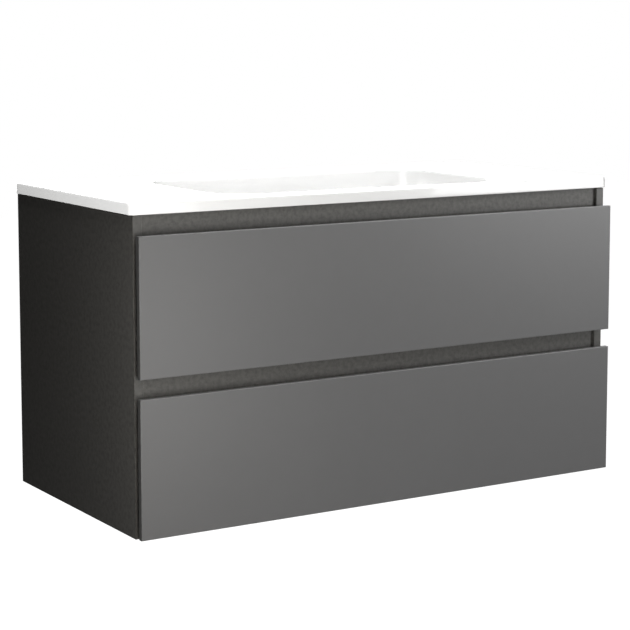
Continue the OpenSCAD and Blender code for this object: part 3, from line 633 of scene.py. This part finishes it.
# by material slot
finishes = {
    "carcass": carcass_finish("carcass_melamine", (700, 700, 10)),
    "fronts": front_finish(),
    "edge_band": edge_band_finish(),
    "box_board": box_board_finish(),
    "ceramic": glaze_finish(),
    "sealant": moulded_finish(
        "white_sealant", rgb(0.8, 0.8, 0.78), roughness=0.4, skin_scale=300.0, strength=0.1
    ),
    "seal_rubber": moulded_finish(
        "black_rubber", rgb(0.02, 0.02, 0.02), roughness=0.6, skin_scale=700.0, strength=0.3
    ),
    "waste_chrome": metal_finish(
        "waste_chrome", rgb(0.82, 0.83, 0.84),
        roughness=0.07, stretch=(40, 40, 600), depth=0.004 * MM,
    ),
    "runner_steel": metal_finish(
        "zinc_strip", rgb(0.6, 0.61, 0.63),
        roughness=0.32, stretch=(900, 25, 900), depth=0.02 * MM,
    ),
    "bearing_steel": metal_finish(
        "bright_bearing", rgb(0.7, 0.7, 0.7),
        roughness=0.16, stretch=(300, 60, 300), depth=0.01 * MM,
    ),
    "fastener_zinc": metal_finish(
        "fastener_zinc", rgb(0.62, 0.62, 0.6),
        roughness=0.28, stretch=(500, 500, 500), depth=0.02 * MM,
    ),
    "dowel_wood": beech_finish(),
    "cover_plastic": moulded_finish(
        "cover_plastic", rgb(0.12, 0.12, 0.118), roughness=0.5, skin_scale=1400.0, strength=0.3
    ),
    "surround_plastic": moulded_finish(
        "surround_plastic", rgb(0.15, 0.15, 0.148),
        roughness=0.45, skin_scale=1400.0, strength=0.3,
    ),
    "bumper_silicone": moulded_finish(
        "clear_bumper", rgb(0.72, 0.74, 0.75), roughness=0.3, skin_scale=500.0, strength=0.1,
        Transmission_Weight=0.35, IOR=1.41,
    ),
}

# the boards whose grain runs along the cabinet
lengthwise_carcass = carcass_finish("lengthwise_melamine", (10, 700, 700))
LENGTHWISE_BOARDS = {
    "bottom_panel", "upper_grip_rail", "middle_grip_rail", "hanging_rail", "lower_rear_rail"
}


# ------------------------------------------------------------- washbasin


def bowl_steps(lip_r, depth):
    """The bowl's wall in section, as steps inward and down: lip, leaning wall, fillet."""
    fillet_r = BOWL_FILLET_R
    turn = math.pi / 2 - BOWL_LEAN
    points = [(0.0, 0.0)]
    if lip_r:
        for i in range(1, LIP_STEPS + 1):
            a = turn * i / LIP_STEPS
            points.append((lip_r * math.sin(a), lip_r * (1 - math.cos(a))))
    wall_end = depth - fillet_r * (1 - math.cos(turn))
    inward = points[-1][0] + (wall_end - points[-1][1]) * math.tan(BOWL_LEAN)
    floor_start = inward + fillet_r * math.sin(turn)
    for i in range(FILLET_STEPS + 1):
        a = turn * (1 - i / FILLET_STEPS)
        down = depth - fillet_r * (1 - math.cos(a))
        points.append((floor_start - fillet_r * math.sin(a), down))
    return [(b[0] - a[0], b[1] - a[1]) for a, b in zip(points, points[1:])]


def add_rounded_outline(centre, width, depth, corner_r):
    """Adds a rounded rectangle of edges to the mesh in edit mode."""
    bpy.ops.mesh.select_mode(type="VERT")
    bpy.ops.mesh.select_all(action="DESELECT")
    bpy.ops.mesh.primitive_plane_add(size=1, location=centre)
    bpy.ops.transform.resize(value=(width, depth, 1), center_override=centre)
    bpy.ops.mesh.bevel(offset=corner_r, segments=CORNER_STEPS, affect="VERTICES")

    def inside_outline(face):
        off_centre = (face.calc_center_median() - Vector(centre)).length
        return off_centre < MM and len(face.verts) == LOOP_POINTS

    pick("FACE", inside_outline)
    bpy.ops.mesh.delete(type="ONLY_FACE")


def open_face(z, sign):
    """Deletes the face that looks up (+1) or down (-1) at height z, and keeps its edges."""
    pick("FACE", lambda f: level(z)(f) and faces_along(2, sign)(f))
    bpy.ops.mesh.delete(type="ONLY_FACE")


def bridge(z, loose_z):
    """Joins the open loops at two heights with a ring of faces, then lays the ring flat at z."""
    def open_loop(edge):
        return (edge.is_boundary or edge.is_wire) and (level(z)(edge) or level(loose_z)(edge))

    pick("EDGE", open_loop)
    bpy.ops.mesh.bridge_edge_loops()
    pick("VERT", lambda v: abs(v.co.z - loose_z) < TINY)
    bpy.ops.transform.translate(value=(0, 0, z - loose_z))


def within(centre, reach_x, reach_y):
    """A test for places in an upright block about centre."""
    return lambda co: abs(co.x - centre.x) < reach_x and abs(co.y - centre.y) < reach_y


def fill_and_sink(z, inside, sign, steps):
    """Fills the loop at height z with a face, then sets it back step by step.

    The face looks up (+1) or down (-1), and each step is a distance inward and a depth.
    """
    pick("EDGE", lambda e: e.is_boundary and level(z)(e) and all(inside(v.co) for v in e.verts))
    bpy.ops.mesh.edge_face_add()
    pick("FACE", lambda f: level(z)(f) and len(f.verts) == LOOP_POINTS)
    mesh = bmesh.from_edit_mesh(bpy.context.edit_object.data)
    if next(f for f in mesh.faces if f.select).normal.z * sign < 0:
        bpy.ops.mesh.flip_normals()
    for inward, down in steps:
        bpy.ops.mesh.inset(thickness=inward, depth=-down * sign)


def washbasin():
    """The slab and its bowl: cut in from above, shelled from below, and holed for the waste."""
    low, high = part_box("washbasin_top")
    drain_low, drain_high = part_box("waste_body")
    drain = (drain_low + drain_high) / 2
    under = high.z - SLAB_T
    basin_d = high.y - BASIN_BACK_LEDGE - (low.y + BASIN_FRONT_LEDGE)
    centre = Vector((0, low.y + BASIN_FRONT_LEDGE + basin_d / 2, 0))
    piece = start_block("washbasin", (low.x, low.y, under), high)
    bevel_edges(upright, SLAB_CORNER_R, CORNER_STEPS)
    bevel_edges(level(high.z), SLAB_EDGE_R, 4)
    bevel_edges(level(under), SLAB_UNDER_R, 2)

    # the bowl from above, and the way out through its floor
    open_face(high.z, 1)
    rim = centre + Vector((0, 0, high.z + LOOP_LIFT))
    lip = 2 * BOWL_LIP_OUT
    add_rounded_outline(rim, BASIN_W + lip, basin_d + lip, BASIN_CORNER_R + BOWL_LIP_OUT)
    bridge(high.z, rim.z)
    inside = within(centre, BASIN_W / 2 + lip, basin_d / 2 + lip)
    fill_and_sink(high.z, inside, 1, bowl_steps(BOWL_LIP_R, BOWL_DEPTH))
    floor_z = high.z - BOWL_DEPTH
    bpy.ops.mesh.delete(type="ONLY_FACE")
    loose_loop = (drain.x, drain.y, floor_z + LOOP_LIFT)
    bpy.ops.mesh.primitive_circle_add(
        vertices=LOOP_POINTS, radius=DRAIN_RECESS_R, location=loose_loop
    )
    bridge(floor_z, floor_z + LOOP_LIFT)
    inside = within(drain, DRAIN_RECESS_R + MM, DRAIN_RECESS_R + MM)
    fill_and_sink(floor_z, inside, 1, [])
    extrude((0, 0, -DRAIN_RECESS_D))
    bpy.ops.mesh.inset(thickness=DRAIN_RECESS_R - DRAIN_HOLE_R)
    extrude((0, 0, low.z + LOOP_LIFT - floor_z + DRAIN_RECESS_D))
    bpy.ops.mesh.delete(type="ONLY_FACE")

    # the bowl from below
    open_face(under, -1)
    outer = centre + Vector((0, 0, under - LOOP_LIFT))
    grow = 2 * BOWL_WALL
    add_rounded_outline(outer, BASIN_W + grow, basin_d + grow, BASIN_CORNER_R + BOWL_WALL)
    bridge(under, outer.z)
    inside = within(centre, BASIN_W / 2 + grow, basin_d / 2 + grow)
    fill_and_sink(under, inside, -1, bowl_steps(0, under - low.z))
    bpy.ops.mesh.delete(type="ONLY_FACE")
    bridge(low.z, low.z + LOOP_LIFT)
    return close(piece, "cabinet", "ceramic", ["washbasin_top"])


# ---------------------------------------------------------------- boards


def side_board(side):
    """A side panel of the cabinet with its edges eased."""
    node = f"{side}_side_panel"
    piece = start_block(f"{side}_side_board", *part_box(node))
    bevel_edges(lambda e: True, BOARD_EDGE_R, 2)
    return close(piece, "cabinet", "carcass", [node])


def edge_bands():
    """The plastic bands on the front edges of the side panels and the bottom."""
    low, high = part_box("carcass_edge_bands")
    side_low, side_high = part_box("left_side_panel")
    floor_low, floor_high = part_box("bottom_panel")
    side_t = side_high.x - side_low.x
    bands = {
        "left_edge_band": (low, (low.x + side_t, high.y, high.z)),
        "right_edge_band": ((high.x - side_t, low.y, low.z), high),
        "bottom_edge_band": (
            (floor_low.x, low.y, low.z), (floor_high.x, high.y, floor_high.z)
        ),
    }
    for name, (start, end) in bands.items():
        piece = start_block(name, start, end)
        bevel_edges(level_y(low.y), BAND_EDGE_R, 3)
        close(piece, "cabinet", "edge_band", ["carcass_edge_bands"])


def drawer_front(which):
    """A lacquered board with thin edges, bevelled behind, and a finger bevel behind its top."""
    low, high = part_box(f"{which}_drawer_front")
    size = high - low
    edge_y = low.y + FRONT_EDGE_T
    piece = start_block(f"{which}_front_board", low, (high.x, edge_y, high.z))
    pick("FACE", faces_along(1, 1))
    extrude((0, high.y - edge_y, 0))
    centre = Vector((0, high.y, (low.z + high.z) / 2))
    shrink_x = (size.x - 2 * FRONT_BEVEL) / size.x
    shrink_z = (size.z - FRONT_BEVEL - GRIP_BEVEL_H) / size.z
    bpy.ops.transform.resize(value=(shrink_x, 1, shrink_z), center_override=centre)
    bpy.ops.transform.translate(value=(0, 0, (FRONT_BEVEL - GRIP_BEVEL_H) / 2))
    bevel_edges(lambda e: all(v.co.y < edge_y - TINY for v in e.verts), FRONT_EDGE_R, 4)
    bevel_edges(level_y(edge_y), BOARD_EDGE_R, 2)
    bevel_edges(level_y(high.y), BOARD_EDGE_R, 2)
    support_faces(lambda f: f.calc_area() > BROAD_FACE, SUPPORT)
    close(piece, f"{which}_drawer", "fronts", [f"{which}_drawer_front"])


# ----------------------------------------------------------------- waste


def turned(name, centre, profile):
    """Turns an outline of (radius, height) points about the upright axis through centre."""
    clear_selection()
    radius, z = profile[0]
    bpy.ops.mesh.primitive_circle_add(
        vertices=ROUND_SEGMENTS, radius=radius, location=(centre.x, centre.y, z)
    )
    piece = edit_new(name)
    bpy.ops.mesh.select_all(action="SELECT")
    for next_radius, next_z in profile[1:]:
        bpy.ops.mesh.extrude_edges_move(TRANSFORM_OT_translate={"value": (0, 0, next_z - z)})
        share = next_radius / radius
        middle = (centre.x, centre.y, next_z)
        bpy.ops.transform.resize(value=(share, share, 1), center_override=middle)
        radius, z = next_radius, next_z
    if profile[-1] != profile[0]:
        for end_z in (profile[0][1], z):
            pick("EDGE", lambda e: e.is_boundary and level(end_z)(e))
            bpy.ops.mesh.edge_face_add()
            bpy.ops.mesh.poke()
    return piece


def thread(top, bottom, crest_r, depth, pitch):
    """The outline of thread ridges running down from top to bottom."""
    points = []
    for i in range(int((top - bottom) / pitch)):
        z = top - i * pitch
        points += [
            (crest_r, z), (crest_r, z - THREAD_CREST * pitch),
            (crest_r - depth, z - THREAD_FLANK * pitch),
            (crest_r - depth, z - THREAD_ROOT * pitch),
        ]
    return points


def waste_pipe():
    """The flanged, threaded pipe with the three arms that guide the plug's stem."""
    low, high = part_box("waste_body")
    centre, top = (low + high) / 2, high.z
    flange_r = (high.x - low.x) / 2
    under_flange = top - FLANGE_T + FLANGE_INSET
    tail_root_r = TAIL_R - TAIL_THREAD_D
    outline = [(BORE_R + FUNNEL_W, top - FLANGE_DIP)]
    outline += [(flange_r - inward, top - down) for inward, down in FLANGE_EDGE]
    outline += [
        (flange_r - FLANGE_INSET, under_flange), (SHANK_R, under_flange),
        (SHANK_R, SHANK_THREAD_TOP),
    ]
    outline += thread(SHANK_THREAD_TOP, SHANK_END, SHANK_R, SHANK_THREAD_D, SHANK_PITCH)
    outline += [(TAIL_R, SHANK_END)]
    tail_top, tail_low = SHANK_END - TAIL_THREAD_INSET, low.z + TAIL_THREAD_INSET
    outline += thread(tail_top, tail_low, TAIL_R, TAIL_THREAD_D, TAIL_PITCH)
    outline += [
        (tail_root_r, low.z + TAIL_TIP_H), (tail_root_r - TAIL_TIP_IN, low.z),
        (BORE_R + BORE_END_W, low.z), (BORE_R, low.z + BORE_END_H), (BORE_R, top - FUNNEL_D),
    ]
    outline.append(outline[0])
    piece = turned("waste_pipe", centre, outline)
    for turn in SPIDER_TURNS:
        angle = math.radians(turn)
        way = Vector((math.cos(angle), math.sin(angle), 0))
        middle = centre + way * (STEM_GUIDE_R + BORE_R) / 2
        middle.z = top - SPIDER_DROP + SPIDER_T / 2
        bpy.ops.mesh.select_all(action="DESELECT")
        bpy.ops.mesh.primitive_cube_add(size=1, location=middle)
        arm = (BORE_R - STEM_GUIDE_R + MM, SPIDER_ARM_W, SPIDER_T)
        bpy.ops.transform.resize(value=arm, center_override=middle)
        # with no window the operator turns the other way
        bpy.ops.transform.rotate(value=-angle, orient_axis="Z", center_override=middle)
    close(piece, "cabinet", "waste_chrome", ["waste_body"])


def waste_seal():
    """A flat rubber ring with eased edges."""
    low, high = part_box("waste_seal")
    centre, outer_r = (low + high) / 2, (high.x - low.x) / 2
    outline = [
        (SEAL_BORE_R, high.z), (outer_r - SEAL_EDGE_R, high.z),
        (outer_r - SEAL_EDGE_IN, high.z - SEAL_EDGE_DOWN), (outer_r, high.z - SEAL_EDGE_R),
        (outer_r, low.z + SEAL_EDGE_R), (outer_r - SEAL_EDGE_IN, low.z + SEAL_EDGE_DOWN),
        (outer_r - SEAL_EDGE_R, low.z), (SEAL_BORE_R, low.z), (SEAL_BORE_R, high.z),
    ]
    close(turned("waste_washer", centre, outline), "cabinet", "seal_rubber", ["waste_seal"])


def waste_plug():
    """A domed cap on its guide stem."""
    low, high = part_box("waste_plug")
    centre, cap_r = (low + high) / 2, (high.x - low.x) / 2
    cap_low, rim_z = high.z - PLUG_CAP_H, high.z - PLUG_DOME
    dome_r = (cap_r ** 2 + PLUG_DOME ** 2) / (2 * PLUG_DOME)
    outline = [
        (STEM_POLE_R, low.z), (STEM_R - STEM_TIP_IN, low.z), (STEM_R, low.z + STEM_TIP_H),
        (STEM_R, cap_low), (cap_r - PLUG_EDGE_R, cap_low), (cap_r, cap_low + PLUG_EDGE_R),
        (cap_r, rim_z - PLUG_RIM_DROP), (cap_r - PLUG_SHOULDER[0], rim_z - PLUG_SHOULDER[1]),
    ]
    for share in DOME_SHARES:
        r = cap_r * share
        outline.append((r, high.z - dome_r + math.sqrt(dome_r ** 2 - r ** 2)))
    close(turned("plug_cap", centre, outline), "waste_plug", "waste_chrome", ["waste_plug"])


def waste_nut():
    """A six-sided nut, its corners eased and its bore cut through."""
    low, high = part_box("waste_backnut")
    centre = (low + high) / 2
    clear_selection()
    bpy.ops.mesh.primitive_cylinder_add(
        vertices=6, radius=(high.x - low.x) / 2, depth=high.z - low.z,
        location=centre, rotation=(0, 0, math.radians(90)),
    )
    piece = edit_new("waste_nut")
    bevel_edges(lambda e: level(high.z)(e) or level(low.z)(e), NUT_EDGE_R, 3)
    bevel_edges(upright, NUT_CORNER_R, 2)
    clear_selection()
    bpy.ops.mesh.primitive_cylinder_add(
        vertices=ROUND_SEGMENTS, radius=SEAL_BORE_R, depth=2 * (high.z - low.z), location=centre
    )
    cutter = bpy.context.object
    clear_selection()
    apply_modifier(piece, "BOOLEAN", operation="DIFFERENCE", object=cutter, solver="EXACT")
    bpy.data.objects.remove(cutter)
    piece.select_set(True)
    bpy.ops.object.mode_set(mode="EDIT")
    close(piece, "cabinet", "waste_chrome", ["waste_backnut"])


# ---------------------------------------------------------------- studio


def softbox(name, place, aim, width, height, power, color):
    """A rectangular lamp that shines on its aim and stays out of sight."""
    clear_selection()
    bpy.ops.object.light_add(type="AREA", location=place)
    lamp = bpy.context.object
    lamp.name = name
    lamp.data.shape = "RECTANGLE"
    lamp.data.size, lamp.data.size_y = width, height
    lamp.data.energy = power
    lamp.data.color = color
    lamp.visible_camera = False
    lamp.rotation_euler = (Vector(aim) - Vector(place)).to_track_quat("-Z", "Y").to_euler()
    return lamp


def light_only(lamp, *pieces):
    """Keeps a lamp's light to the pieces given, as a flag would in a studio."""
    lit = bpy.data.collections.new(lamp.name + "_lit")
    for piece in pieces:
        lit.objects.link(piece)
    lamp.light_linking.receiver_collection = lit


def backdrop():
    """White behind the cabinet and in its reflections that way, and nearly dark elsewhere."""
    scene = bpy.context.scene
    scene.view_settings.view_transform = "Standard"
    scene.world = bpy.data.worlds.new("studio")
    scene.world.use_nodes = True
    tree = scene.world.node_tree
    tree.nodes.clear()
    path = add_node(tree, "ShaderNodeLightPath").outputs
    inputs = {0: add_node(tree, "ShaderNodeTexCoord").outputs["Generated"], 1: BACKDROP_WAY}
    facing = add_node(tree, "ShaderNodeVectorMath", inputs, operation="DOT_PRODUCT")
    lit = span(tree, facing.outputs["Value"], *BACKDROP_FADE)
    mirrored = maths(tree, "MULTIPLY", lit, path["Is Glossy Ray"])
    white = maths(tree, "MAXIMUM", path["Is Camera Ray"], mirrored)
    shade = mixed(tree, white, rgb(0.02, 0.02, 0.02), rgb(1, 1, 1))
    sky = add_node(tree, "ShaderNodeBackground", {"Color": shade, "Strength": 1.0})
    output = add_node(tree, "ShaderNodeOutputWorld")
    tree.links.new(sky.outputs[0], output.inputs["Surface"])


def studio_floor():
    """A floor that the camera sees as pure white, and that throws little light back."""
    clear_selection()
    bpy.ops.mesh.primitive_plane_add(size=FLOOR_SIZE, location=(0, 0, FLOOR_Z))
    floor = bpy.context.object
    floor.name = "studio_floor"
    material, tree, sockets, position = start_finish("studio_floor", Roughness=0.9)
    tone = use_group(tree, groups["tone_drift"], {
        "Position": position, "Color": rgb(0.06, 0.06, 0.06), "Scale": 0.8, "Amount": 0.01,
    })
    tree.links.new(tone["Color"], sockets["Base Color"])
    sockets["Emission Color"].default_value = rgb(1, 1, 1)
    seen = add_node(tree, "ShaderNodeLightPath").outputs["Is Camera Ray"]
    tree.links.new(seen, sockets["Emission Strength"])
    floor.data.materials.append(material)


def camera():
    bpy.ops.object.camera_add(location=CAMERA_PLACE, rotation=(CAMERA_TILT, 0, CAMERA_TURN))
    view = bpy.context.object
    view.name = "camera"
    view.data.lens = CAMERA_LENS
    view.data.sensor_width = CAMERA_SENSOR
    view.data.shift_y = CAMERA_RISE
    view.data.clip_start, view.data.clip_end = 0.1, 100
    bpy.context.scene.camera = view


def dress_frame():
    """Gives every CAD node that stays in sight its finish."""
    slots = {part["node"]: part["material_slot"] for part in frame["record"]["subparts"]}
    for name, piece in frame["nodes"].items():
        finish = lengthwise_carcass if name in LENGTHWISE_BOARDS else finishes[slots[name]]
        if not piece.material_slots:
            piece.data.materials.append(finish)
        for place in piece.material_slots:
            place.material = finish


clear_selection()
camera()
backdrop()
studio_floor()
lamps = {name: softbox(name, *settings) for name, *settings in SOFTBOXES}
dress_frame()
light_only(lamps["slab_side_softbox"], washbasin())
light_only(lamps["left_side_softbox"], side_board("left"), side_board("right"))
edge_bands()
drawer_front("upper")
drawer_front("lower")
waste_pipe()
waste_seal()
waste_nut()
waste_plug()
clear_selection()
